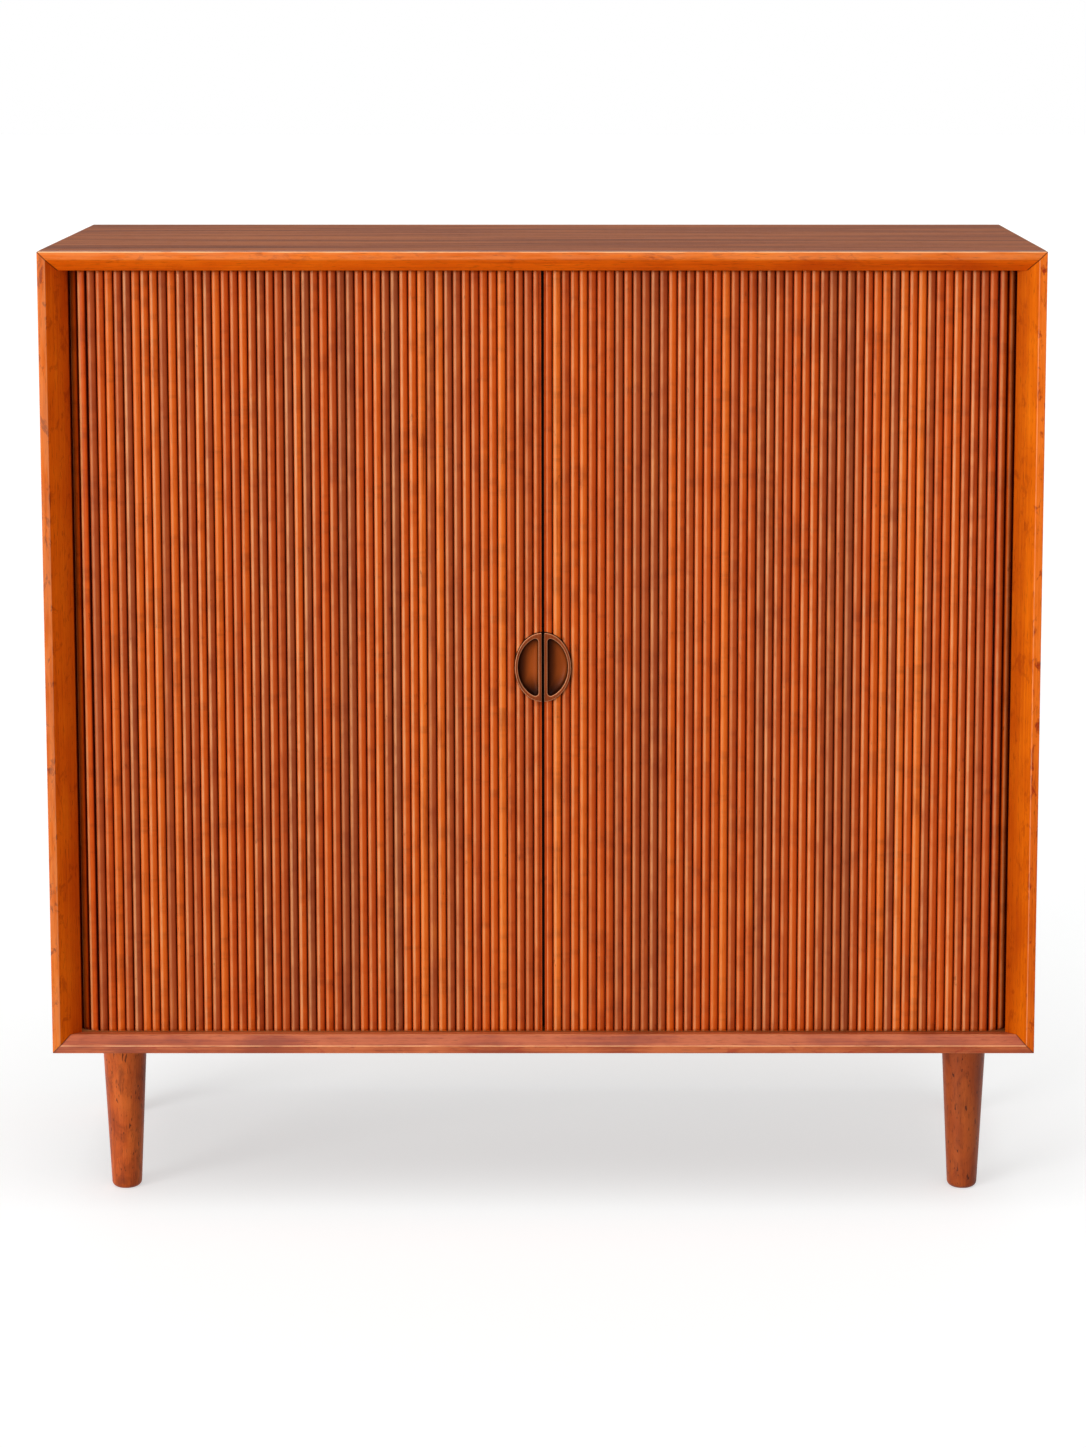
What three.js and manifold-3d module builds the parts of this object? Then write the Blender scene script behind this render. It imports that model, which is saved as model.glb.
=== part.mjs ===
// Tambour door cabinet: a mitred veneered case on four turned legs, closed by two
// curtains of reeded slats that run in curved grooves into pockets behind the sides.
// Millimetres, +Z up, front towards -Y, origin on the floor under the middle of the case.

import * as THREE from 'three';
import { mergeVertices } from 'three/addons/utils/BufferGeometryUtils.js';
import Module from 'manifold-3d';

const wasm = await Module();
wasm.setup();

// Driving dimensions of the case
const case_width = 1080;
const case_depth = 450;
const case_height = 883;
const leg_height = 180;
const top_thickness = 21;
const bottom_thickness = 19;
const side_thickness = 16;
const mitre_gap = 0.2;
const fit_gap = 0.3;
const cut_overrun = 5;

// Front frame: a lipping that shows a narrow edge and slopes back to the curtain
const frame_depth = 18;
const frame_edge = 8.5;
const bevel_slope_share = 1.2;

// Curtain slats and the canvas that they are glued to
const slat_width = 9.3;
const slat_gap = 0.3;
const slat_height = 6.4;
const slat_side_height = 2.2;
const slat_edge_chamfer = 1.2;
const slat_arc_steps = 6;
const canvas_thickness = 0.6;
const shoulder_gap = 1;
const tongue_height = 4;

// Track that the slat tongues run in: its line is the back of the slats, whose faces
// clear the front frame and the side boards
const slat_frame_clearance = 2.6;
const slat_side_clearance = 3.1;
const track_radius = 28.5;
const track_clearance = 0.6;
const groove_depth = 8;
const groove_arc_steps = 16;
const tongue_length = groove_depth - fit_gap;
const meeting_gap = 2;
const tail_turn_share = 0.74;
const stop_gap = 1;

// Pulls: two half ovals that make one oval when the curtains meet
const pull_half_width = 30;
const pull_half_height = 38;
const pull_height_above_case = 428.5;
const pull_proud = 3;
const pull_back = 5;
const pull_edge_round = 1.2;
const pull_outline_steps = 18;
const pull_rim = 3.8;
const pull_rim_top = 6.4;
const pull_lip = 5.3;
const pull_corner = 4;
const pull_corner_steps = 4;
const pull_cup_depth = 11;
const pull_flange = 4;
const pull_flange_thickness = 3;

// Inside of the case: the pocket walls clear the canvas and reach a little into the
// corner turn, and the divider clears the pulls
const back_thickness = 6;
const back_inset = 6;
const rebate_depth = 8;
const divider_thickness = 16;
const pull_clearance = 10.4;
const pocket_wall_thickness = 10;
const pocket_clearance = 3.9;
const pocket_wall_reach = 8.5;
const shelf_setback = 4;
const shelf_thickness = 16;
const shelf_level_shares = [1 / 3, 2 / 3];
const pin_diameter = 6;
const pin_length = 8;
const pin_inset = 42;
const pin_sides = 8;

// Turned legs and the plates that hold them
const leg_top_radius = 25;
const leg_foot_radius = 16.8;
const foot_round = 6.4;
const foot_round_steps = 4;
const leg_sides = 28;
const front_leg_inset = 68;
const rear_leg_inset = 35;
const leg_setback = 88;
const plate_size = 64;
const plate_thickness = 3;
const plate_corner = 8;
const bolt_diameter = 8;
const bolt_length = 34;
const bolt_sides = 12;
const bore_clearance = 0.5;

// Places that follow from those sizes, in the frame of the case: z = 0 under its bottom
const half_width = case_width / 2;
const front_y = -case_depth / 2;
const rear_y = case_depth / 2;
const frame_back_y = front_y + frame_depth;
const ceiling_z = case_height - top_thickness;
const floor_z = bottom_thickness;
const back_face_y = rear_y - back_inset - back_thickness;
const side_inner_x = half_width - side_thickness;
const track_front_y = frame_back_y + slat_frame_clearance + slat_height;
const track_side_x = side_inner_x - slat_side_clearance - slat_height;
const turn_x = track_side_x - track_radius;
const turn_y = track_front_y + track_radius;

// Curtain: its slats, how far it reaches, and how far it opens until either its tail
// meets the back panel or its pull comes to the corner turn
const slat_pitch = slat_width + slat_gap;
const front_run = turn_x - meeting_gap / 2;
const turn_length = (track_radius * Math.PI) / 2;
const side_run = back_face_y - stop_gap - turn_y;
const slat_count = Math.round((front_run + turn_length * tail_turn_share) / slat_pitch);
const curtain_length = slat_count * slat_pitch;
const tail_travel = front_run + turn_length + side_run - curtain_length;
const pull_travel = front_run - pull_half_width - pull_flange - slat_pitch;
const travel = Math.min(tail_travel, pull_travel);

// Materials
const veneer = new THREE.MeshStandardMaterial({ color: 0x96603f, roughness: 0.5, metalness: 0 });
const lipping = new THREE.MeshStandardMaterial({ color: 0xd0691f, roughness: 0.45, metalness: 0 });
const slat_wood = new THREE.MeshStandardMaterial({ color: 0xc0602c, roughness: 0.5, metalness: 0 });
const pull_wood = new THREE.MeshStandardMaterial({ color: 0x824128, roughness: 0.45, metalness: 0 });
const leg_wood = new THREE.MeshStandardMaterial({ color: 0x9a4a22, roughness: 0.45, metalness: 0 });
const inner_veneer = new THREE.MeshStandardMaterial({ color: 0xb5824f, roughness: 0.6, metalness: 0 });
const plate_steel = new THREE.MeshStandardMaterial({ color: 0x9a9a96, roughness: 0.4, metalness: 1 });

// A closed polygon from a list of [x, y] points
function polygon(points) {
  return new THREE.Shape(points.map(([x, y]) => new THREE.Vector2(x, y)));
}

// A plan outline raised from z0 to z1
function upright(shape, z0, z1, steps = 1) {
  const settings = { depth: z1 - z0, bevelEnabled: false, curveSegments: steps };
  return new THREE.ExtrudeGeometry(shape, settings).translate(0, 0, z0);
}

// An outline drawn in x and z, carried from y0 back to y1
function frontToBack(shape, y0, y1, steps = 1) {
  const settings = { depth: y1 - y0, bevelEnabled: false, curveSegments: steps };
  return new THREE.ExtrudeGeometry(shape, settings).rotateX(Math.PI / 2).translate(0, y1, 0);
}

// A section drawn in y and z, carried from x0 across to x1
function sideToSide(shape, x0, x1) {
  const across = new THREE.Matrix4().set(0, 0, 1, 0, 1, 0, 0, 0, 0, 1, 0, 0, 0, 0, 0, 1);
  const settings = { depth: x1 - x0, bevelEnabled: false };
  return new THREE.ExtrudeGeometry(shape, settings).applyMatrix4(across).translate(x0, 0, 0);
}

// A block between two opposite corners
function block(x0, x1, y0, y1, z0, z1) {
  const box = new THREE.BoxGeometry(x1 - x0, y1 - y0, z1 - z0);
  return box.translate((x0 + x1) / 2, (y0 + y1) / 2, (z0 + z1) / 2);
}

// The solid inside a closed mesh
function solid(geometry) {
  const bare = geometry.clone();
  bare.deleteAttribute('normal');
  bare.deleteAttribute('uv');
  const merged = mergeVertices(bare);
  const vertProperties = new Float32Array(merged.attributes.position.array);
  const triVerts = new Uint32Array(merged.index.array);
  return new wasm.Manifold(new wasm.Mesh({ numProp: 3, vertProperties, triVerts }));
}

// The mesh of a solid, with flat shaded faces
function skin(body) {
  const mesh = body.getMesh();
  const geometry = new THREE.BufferGeometry();
  geometry.setAttribute('position', new THREE.BufferAttribute(mesh.vertProperties, 3));
  geometry.setIndex(new THREE.BufferAttribute(mesh.triVerts, 1));
  const flat = geometry.toNonIndexed();
  flat.computeVertexNormals();
  return flat;
}

// One geometry less each of the others
function cut(geometry, ...cutters) {
  return skin(cutters.reduce((body, cutter) => body.subtract(solid(cutter)), solid(geometry)));
}

// One geometry joined with each of the others
function join(geometry, ...others) {
  return skin(others.reduce((body, other) => body.add(solid(other)), solid(geometry)));
}

// What two geometries share
function overlap(geometry, other) {
  return skin(solid(geometry).intersect(solid(other)));
}

// A named piece at a place in its group
function piece(name, geometry, material, parent, x = 0, y = 0, z = 0, turn = 0) {
  const mesh = new THREE.Mesh(geometry, material);
  mesh.name = name;
  mesh.position.set(x, y, z);
  mesh.rotation.z = turn;
  parent.add(mesh);
  return mesh;
}

const cabinet = new THREE.Group();
const case_group = new THREE.Group();
case_group.position.z = leg_height;
cabinet.add(case_group);

// The U-shaped groove that both curtains share: straight across the front, a quarter
// turn at each corner, and straight back along the sides and out of the rear edge
function grooveOutline() {
  const outer = track_radius + tongue_height + track_clearance;
  const inner = track_radius - canvas_thickness - track_clearance;
  const rear = rear_y + cut_overrun;
  const shape = new THREE.Shape();
  shape.moveTo(turn_x + outer, rear);
  shape.lineTo(turn_x + inner, rear);
  shape.lineTo(turn_x + inner, turn_y);
  shape.absarc(turn_x, turn_y, inner, 0, -Math.PI / 2, true);
  shape.lineTo(-turn_x, turn_y - inner);
  shape.absarc(-turn_x, turn_y, inner, -Math.PI / 2, -Math.PI, true);
  shape.lineTo(-turn_x - inner, rear);
  shape.lineTo(-turn_x - outer, rear);
  shape.lineTo(-turn_x - outer, turn_y);
  shape.absarc(-turn_x, turn_y, outer, -Math.PI, -Math.PI / 2, false);
  shape.lineTo(turn_x, turn_y - outer);
  shape.absarc(turn_x, turn_y, outer, -Math.PI / 2, 0, false);
  return shape;
}

// The space of the back panel, open to the rear, that is rebated out of the four boards
const back_half_width = side_inner_x + rebate_depth;
const back_low_z = floor_z - rebate_depth;
const back_high_z = ceiling_z + rebate_depth;
const rebate = block(-back_half_width, back_half_width, back_face_y, rear_y + cut_overrun,
  back_low_z, back_high_z);

// Top and bottom boards: mitred to the sides, grooved for the slat tongues
function board(thickness, groove_z0, groove_z1, flip) {
  const outline = [
    [-half_width, 0],
    [half_width, 0],
    [side_inner_x, side_thickness],
    [side_inner_x, thickness],
    [-side_inner_x, thickness],
    [-side_inner_x, side_thickness],
  ].map(([x, z]) => [x, flip ? case_height - z : z]);
  const slab = frontToBack(polygon(outline), frame_back_y, rear_y);
  const groove = upright(grooveOutline(), groove_z0, groove_z1, groove_arc_steps);
  return cut(slab, groove, rebate);
}
const top_board = board(top_thickness, ceiling_z - cut_overrun, ceiling_z + groove_depth, true);
piece('top_panel', top_board, veneer, case_group);
const bottom_board = board(bottom_thickness, floor_z - groove_depth, floor_z + cut_overrun, false);
piece('bottom_panel', bottom_board, veneer, case_group);

// Side boards, mitred at both ends
function sideBoard(side) {
  const outline = polygon([
    [side * half_width, mitre_gap],
    [side * side_inner_x, side_thickness + mitre_gap],
    [side * side_inner_x, case_height - side_thickness - mitre_gap],
    [side * half_width, case_height - mitre_gap],
  ]);
  return cut(frontToBack(outline, frame_back_y, rear_y), rebate);
}
piece('left_side_panel', sideBoard(-1), veneer, case_group);
piece('right_side_panel', sideBoard(1), veneer, case_group);

// Front rails: a bevelled lipping along the top and the bottom board, mitred at its ends
function rail(thickness, flip) {
  const bevel_depth = (thickness - frame_edge) / bevel_slope_share;
  const section = [
    [front_y, 0],
    [front_y, frame_edge],
    [front_y + bevel_depth, thickness],
    [frame_back_y, thickness],
    [frame_back_y, 0],
  ].map(([y, z]) => [y, flip ? case_height - z : z]);
  const face = [
    [-half_width, 0],
    [half_width, 0],
    [half_width - thickness, thickness],
    [thickness - half_width, thickness],
  ].map(([x, z]) => [x, flip ? case_height - z : z]);
  const strip = sideToSide(polygon(section), -half_width, half_width);
  return overlap(strip, frontToBack(polygon(face), front_y - cut_overrun, frame_back_y));
}
piece('top_front_rail', rail(top_thickness, true), lipping, case_group);
piece('bottom_front_rail', rail(bottom_thickness, false), lipping, case_group);

// Front stiles: deeper than the rails' bevel, so that they hide the ends of the curtains
function stile(side) {
  const stile_width = frame_edge + frame_depth * bevel_slope_share;
  const plan = polygon([
    [side * half_width, front_y],
    [side * (half_width - frame_edge), front_y],
    [side * (half_width - stile_width), frame_back_y],
    [side * half_width, frame_back_y],
  ]);
  const endCutter = (thickness, flip) => {
    const far = half_width - stile_width - cut_overrun;
    const outline = [
      [half_width + cut_overrun, mitre_gap - cut_overrun],
      [half_width - thickness, thickness + mitre_gap],
      [far, thickness + mitre_gap],
      [far, -cut_overrun],
      [half_width + cut_overrun, -cut_overrun],
    ].map(([x, z]) => [side * x, flip ? case_height - z : z]);
    return frontToBack(polygon(outline), front_y - cut_overrun, frame_back_y + cut_overrun);
  };
  return cut(upright(plan, 0, case_height), endCutter(top_thickness, true),
    endCutter(bottom_thickness, false));
}
piece('left_front_stile', stile(-1), lipping, case_group);
piece('right_front_stile', stile(1), lipping, case_group);

// Back panel, let into the rebates
const back_board = block(fit_gap - back_half_width, back_half_width - fit_gap, back_face_y,
  back_face_y + back_thickness, back_low_z + fit_gap, back_high_z - fit_gap);
piece('back_panel', back_board, inner_veneer, case_group);

// Shelf pins: short round pins that stand out of a wall, two for each shelf
const shelf_levels = shelf_level_shares.map((share) => floor_z + (ceiling_z - floor_z) * share);
const inside_front_y = track_front_y + canvas_thickness + pull_back + pull_clearance;
function pins(x0, x1) {
  const places = [inside_front_y + shelf_setback + pin_inset, back_face_y - pin_inset];
  return shelf_levels.flatMap((level) => places.map((y) => {
    const radius = pin_diameter / 2;
    const pin = new THREE.CylinderGeometry(radius, radius, x1 - x0, pin_sides);
    const low = level - shelf_thickness / 2 - fit_gap - radius;
    return pin.rotateZ(Math.PI / 2).translate((x0 + x1) / 2, y, low);
  }));
}

// Centre divider with its pins on both sides
const divider_x = divider_thickness / 2;
const divider_board = block(-divider_x, divider_x, inside_front_y, back_face_y, floor_z, ceiling_z);
const divider_pins = pins(-divider_x - pin_length, divider_x + pin_length);
piece('centre_divider', join(divider_board, ...divider_pins), inner_veneer, case_group);

// Pocket walls: inner sides that keep the contents off the open curtains
const pocket_outer_x = track_side_x - canvas_thickness - pocket_clearance;
const pocket_inner_x = pocket_outer_x - pocket_wall_thickness;
const pocket_front_y = turn_y - pocket_wall_reach;
function pocketWall(side) {
  const [x0, x1] = [side * pocket_outer_x, side * pocket_inner_x].sort((a, b) => a - b);
  const wall = block(x0, x1, pocket_front_y, back_face_y, floor_z, ceiling_z);
  const pin_x = side * (pocket_inner_x - pin_length);
  const wall_mid = side * (pocket_outer_x + pocket_inner_x) / 2;
  const wall_pins = pins(Math.min(pin_x, wall_mid), Math.max(pin_x, wall_mid));
  return join(wall, ...wall_pins);
}
piece('left_pocket_wall', pocketWall(-1), inner_veneer, case_group);
piece('right_pocket_wall', pocketWall(1), inner_veneer, case_group);

// Loose shelves on the pins
const shelf_x0 = divider_x + fit_gap;
const shelf_x1 = pocket_inner_x - fit_gap;
const shelf_length = shelf_x1 - shelf_x0;
const shelf_front_y = inside_front_y + shelf_setback;
const shelf_depth = back_face_y - fit_gap - shelf_front_y;
for (const [side, side_name] of [[-1, 'left'], [1, 'right']]) {
  shelf_levels.forEach((level, index) => {
    const shelf = new THREE.BoxGeometry(shelf_length, shelf_depth, shelf_thickness);
    const name = `${side_name}_${['lower', 'upper'][index]}_shelf`;
    const x = side * (shelf_x0 + shelf_length / 2);
    piece(name, shelf, inner_veneer, case_group, x, shelf_front_y + shelf_depth / 2, level);
  });
}

// Leg: a tapered turning with a round foot and a bore for the bolt of its plate
const leg_length = leg_height - plate_thickness;
function legTurning() {
  const bore = bolt_diameter / 2 + bore_clearance;
  const bore_floor = leg_length - bolt_length - bore_clearance;
  const profile = [new THREE.Vector2(0, 0)];
  for (let step = 0; step <= foot_round_steps; step += 1) {
    const angle = (Math.PI / 2) * (step / foot_round_steps);
    const x = leg_foot_radius - foot_round + foot_round * Math.sin(angle);
    profile.push(new THREE.Vector2(x, foot_round - foot_round * Math.cos(angle)));
  }
  profile.push(new THREE.Vector2(leg_top_radius, leg_length));
  profile.push(new THREE.Vector2(bore, leg_length));
  profile.push(new THREE.Vector2(bore, bore_floor));
  profile.push(new THREE.Vector2(0, bore_floor));
  return new THREE.LatheGeometry(profile, leg_sides).rotateX(Math.PI / 2);
}

// Leg plate: a steel square with cut corners and a bolt that screws into the leg
function legPlate() {
  const half = plate_size / 2;
  const inner = half - plate_corner;
  const outline = polygon([
    [-inner, -half], [inner, -half], [half, -inner], [half, inner],
    [inner, half], [-inner, half], [-half, inner], [-half, -inner],
  ]);
  const radius = bolt_diameter / 2;
  const bolt = new THREE.CylinderGeometry(radius, radius, bolt_length + plate_thickness / 2, bolt_sides);
  bolt.rotateX(Math.PI / 2).translate(0, 0, (plate_thickness / 2 - bolt_length) / 2);
  return join(upright(outline, 0, plate_thickness), bolt);
}
const leg_places = [
  ['front_left', front_leg_inset - half_width, front_y + leg_setback],
  ['front_right', half_width - front_leg_inset, front_y + leg_setback],
  ['rear_left', rear_leg_inset - half_width, rear_y - leg_setback],
  ['rear_right', half_width - rear_leg_inset, rear_y - leg_setback],
];
for (const [corner, x, y] of leg_places) {
  piece(`${corner}_leg`, legTurning(), leg_wood, cabinet, x, y);
  piece(`${corner}_leg_plate`, legPlate(), plate_steel, cabinet, x, y, leg_length);
}

// Section of one slat about its middle, from its leading to its trailing side, with its
// back on y = 0 and its rounded face towards -y; a lead slat has a square leading edge
function slatSection(middle, side, lead) {
  const half = slat_width / 2;
  const crown = slat_height - slat_side_height;
  const points = [[middle - side * half, 0]];
  for (let step = 0; step <= slat_arc_steps; step += 1) {
    const angle = Math.PI * (step / slat_arc_steps);
    const x = -Math.cos(angle) * half;
    if (!lead || x >= 0) {
      points.push([middle + side * x, -slat_side_height - crown * Math.sin(angle)]);
    } else if (step === 0) {
      points.push([middle - side * half, slat_edge_chamfer - slat_height]);
      points.push([middle + side * (slat_edge_chamfer - half), -slat_height]);
    }
  }
  points.push([middle + side * half, 0]);
  return points;
}

// A run of slats on one piece of canvas, with tongues cut on both ends of the slats
const tongue_low_z = floor_z - tongue_length;
const tongue_high_z = ceiling_z + tongue_length;
function slatRun(middles, side, lead) {
  const front = middles.flatMap((middle, index) => slatSection(middle, side, lead && index === 0));
  const first = front[0][0];
  const last = front[front.length - 1][0];
  const outline = [...front, [last, canvas_thickness], [first, canvas_thickness]];
  const [x0, x1] = [Math.min(first, last) - cut_overrun, Math.max(first, last) + cut_overrun];
  const shoulder = (z0, z1) => block(x0, x1, -slat_height - cut_overrun, -tongue_height, z0, z1);
  return cut(upright(polygon(outline), tongue_low_z, tongue_high_z),
    shoulder(tongue_low_z - cut_overrun, floor_z + shoulder_gap),
    shoulder(ceiling_z - shoulder_gap, tongue_high_z + cut_overrun));
}

// Half an oval in x and z, its straight side on x = 0 and its round side outwards
function halfOval(side, width, height) {
  const points = [];
  for (let step = 0; step <= pull_outline_steps; step += 1) {
    const angle = Math.PI * (step / pull_outline_steps - 1 / 2);
    points.push([side * width * Math.cos(angle), height * Math.sin(angle)]);
  }
  return polygon(points);
}

// A stack of like rings, each drawn in x and z and lying further back than the last,
// joined by walls and closed at both ends
function loft(rings) {
  const count = rings[0].length;
  const flat = rings[0].map((point) => new THREE.Vector2(point.x, point.z));
  const clockwise = THREE.ShapeUtils.isClockWise(flat);
  const index = [];
  const add = (a, b, c) => (clockwise ? index.push(a, b, c) : index.push(a, c, b));
  const last = (rings.length - 1) * count;
  for (const [a, b, c] of THREE.ShapeUtils.triangulateShape(flat, [])) {
    index.push(a, b, c, last + a, last + c, last + b);
  }
  for (let ring = 0; ring + 1 < rings.length; ring += 1) {
    for (let point = 0; point < count; point += 1) {
      const next = (point + 1) % count;
      const [near, far] = [ring * count, (ring + 1) * count];
      add(near + point, near + next, far + next);
      add(near + point, far + next, far + point);
    }
  }
  return new THREE.BufferGeometry().setFromPoints(rings.flat()).setIndex(index);
}

// The finger cup: a rounded D that narrows towards its floor
const cup_depth_shares = [-0.5, 0, 0.35, 0.7, 0.92, 1];
const cup_size_shares = [1, 1, 0.97, 0.86, 0.66, 0.4];
function cup(side) {
  const width = pull_half_width - pull_rim;
  const height = pull_half_height - pull_rim_top;
  const start = Math.acos((pull_lip + pull_corner) / width);
  const corner = height * Math.sqrt(1 - (pull_lip / width) ** 2);
  const outline = new THREE.Shape();
  outline.moveTo(pull_lip, pull_corner - corner);
  outline.quadraticCurveTo(pull_lip, -corner, width * Math.cos(start), -height * Math.sin(start));
  outline.absellipse(0, 0, width, height, -start, start, false);
  outline.quadraticCurveTo(pull_lip, corner, pull_lip, corner - pull_corner);
  const points = outline.getPoints(pull_corner_steps);
  const middle = (pull_lip + width) / 2;
  const rim_y = -slat_height - pull_proud;
  const rings = cup_depth_shares.map((depth_share, ring) => points.map((point) => {
    const size = cup_size_shares[ring];
    const x = middle + (point.x - middle) * size;
    return new THREE.Vector3(side * x, rim_y + pull_cup_depth * depth_share, point.y * size);
  }));
  return loft(rings);
}

// The pull: a block with a rounded rim, its cup cut in, and a flange behind the canvas
function pullBlock(side) {
  const back_y = canvas_thickness + pull_back;
  const front_y_of_rim = -slat_height - pull_proud;
  const oval = halfOval(side, pull_half_width, pull_half_height);
  const block_depth = back_y - front_y_of_rim;
  const body = new THREE.ExtrudeGeometry(oval, {
    depth: block_depth - 2 * pull_edge_round,
    bevelThickness: pull_edge_round,
    bevelSize: pull_edge_round,
    bevelOffset: -pull_edge_round,
    bevelSegments: 2,
  });
  body.rotateX(Math.PI / 2).translate(0, back_y - pull_edge_round, 0);
  const wide = halfOval(side, pull_half_width + pull_flange, pull_half_height + pull_flange);
  const flange_y = canvas_thickness + fit_gap;
  const flange = frontToBack(wide, flange_y, flange_y + pull_flange_thickness);
  return cut(join(body, flange), cup(side));
}

// The hole for the pull through the leading slats and their canvas
function pullHole(side) {
  const oval = halfOval(side, pull_half_width + fit_gap, pull_half_height + fit_gap);
  const [y0, y1] = [-slat_height - cut_overrun, canvas_thickness + cut_overrun];
  const edge = block(-cut_overrun, cut_overrun, y0, y1, -pull_half_height - fit_gap,
    pull_half_height + fit_gap);
  return join(frontToBack(oval, y0, y1), edge);
}

// Middle of a slat, measured along the curtain from its leading edge
const slatMiddle = (slat) => slat_pitch * (slat + 1 / 2);

// Place of a point on the track and the turn of a slat there, by its distance along the
// track from the meeting edge: on the front run, round the corner, or on the side run
function trackPlace(distance, side) {
  if (distance <= front_run) {
    return { x: side * (meeting_gap / 2 + distance), y: track_front_y, turn: 0 };
  }
  const angle = Math.min((distance - front_run) / track_radius, Math.PI / 2);
  const beyond = Math.max(distance - front_run - turn_length, 0);
  return {
    x: side * (turn_x + track_radius * Math.sin(angle)),
    y: turn_y - track_radius * Math.cos(angle) + beyond,
    turn: side * angle,
  };
}

// Each curtain has parts that stay flat wherever it stands, and slats that turn on
// their own: a few that come to lie in the corner when it is open, and its tail, which
// lies there when it is shut
const slats = [...Array(slat_count).keys()];
const stays_front = slats.filter((slat) => slatMiddle(slat) + travel <= front_run);
const tail_slats = slats.filter((slat) => slatMiddle(slat) > front_run);
const turning_slats = slats.filter((slat) => {
  const open = slatMiddle(slat) + travel;
  return open > front_run && open < front_run + turn_length;
});
const panel_slats = slats.filter((slat) => ![stays_front, tail_slats, turning_slats]
  .some((group) => group.includes(slat)));

for (const [side, side_name] of [[-1, 'left'], [1, 'right']]) {
  const curtain = new THREE.Group();
  case_group.add(curtain);
  const flatRun = (group, lead) => {
    const middles = group.map((slat) => side * (meeting_gap / 2 + slatMiddle(slat)));
    return slatRun(middles, side, lead);
  };
  const pull_z = pull_height_above_case;
  const hole = pullHole(side).translate(side * meeting_gap / 2, 0, pull_z);
  const lead_run = cut(flatRun(stays_front, true), hole);
  piece(`${side_name}_lead_slats`, lead_run, slat_wood, curtain, 0, track_front_y);
  const pull_x = side * meeting_gap / 2;
  piece(`${side_name}_pull`, pullBlock(side), pull_wood, curtain, pull_x, track_front_y, pull_z);
  const panel_run = flatRun(panel_slats, false);
  piece(`${side_name}_curtain_panel`, panel_run, slat_wood, curtain, 0, track_front_y);
  const single = (name, slat) => {
    const place = trackPlace(slatMiddle(slat), side);
    const run = slatRun([0], side, false);
    piece(`${side_name}_${name}`, run, slat_wood, curtain, place.x, place.y, 0, place.turn);
  };
  turning_slats.forEach((slat, index) => single(`turning_slat_${index + 1}`, slat));
  tail_slats.forEach((slat, index) => single(`tail_slat_${index + 1}`, slat));
}

export default cabinet;
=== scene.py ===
import bpy
import numpy as np
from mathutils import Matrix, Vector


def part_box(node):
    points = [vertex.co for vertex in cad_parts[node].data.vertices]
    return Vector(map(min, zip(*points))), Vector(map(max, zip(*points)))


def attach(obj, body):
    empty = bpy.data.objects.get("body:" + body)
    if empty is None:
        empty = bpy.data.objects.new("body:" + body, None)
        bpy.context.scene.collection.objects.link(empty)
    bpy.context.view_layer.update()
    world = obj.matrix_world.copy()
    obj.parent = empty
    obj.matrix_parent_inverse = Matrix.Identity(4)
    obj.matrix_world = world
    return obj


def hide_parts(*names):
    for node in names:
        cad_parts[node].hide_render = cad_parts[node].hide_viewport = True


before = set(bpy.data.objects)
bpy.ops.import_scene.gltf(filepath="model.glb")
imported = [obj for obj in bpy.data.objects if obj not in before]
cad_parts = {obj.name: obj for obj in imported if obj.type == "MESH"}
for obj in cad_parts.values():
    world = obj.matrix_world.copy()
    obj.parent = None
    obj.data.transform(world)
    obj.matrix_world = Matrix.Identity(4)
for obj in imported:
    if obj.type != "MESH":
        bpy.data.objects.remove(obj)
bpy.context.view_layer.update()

# Boards of the case
# Four veneered boards, mitred along the corners and grooved for the curtains: the CAD solids as
# they are. The veneer runs across the top and up the sides, rubbed with oil until it is brown.


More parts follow.
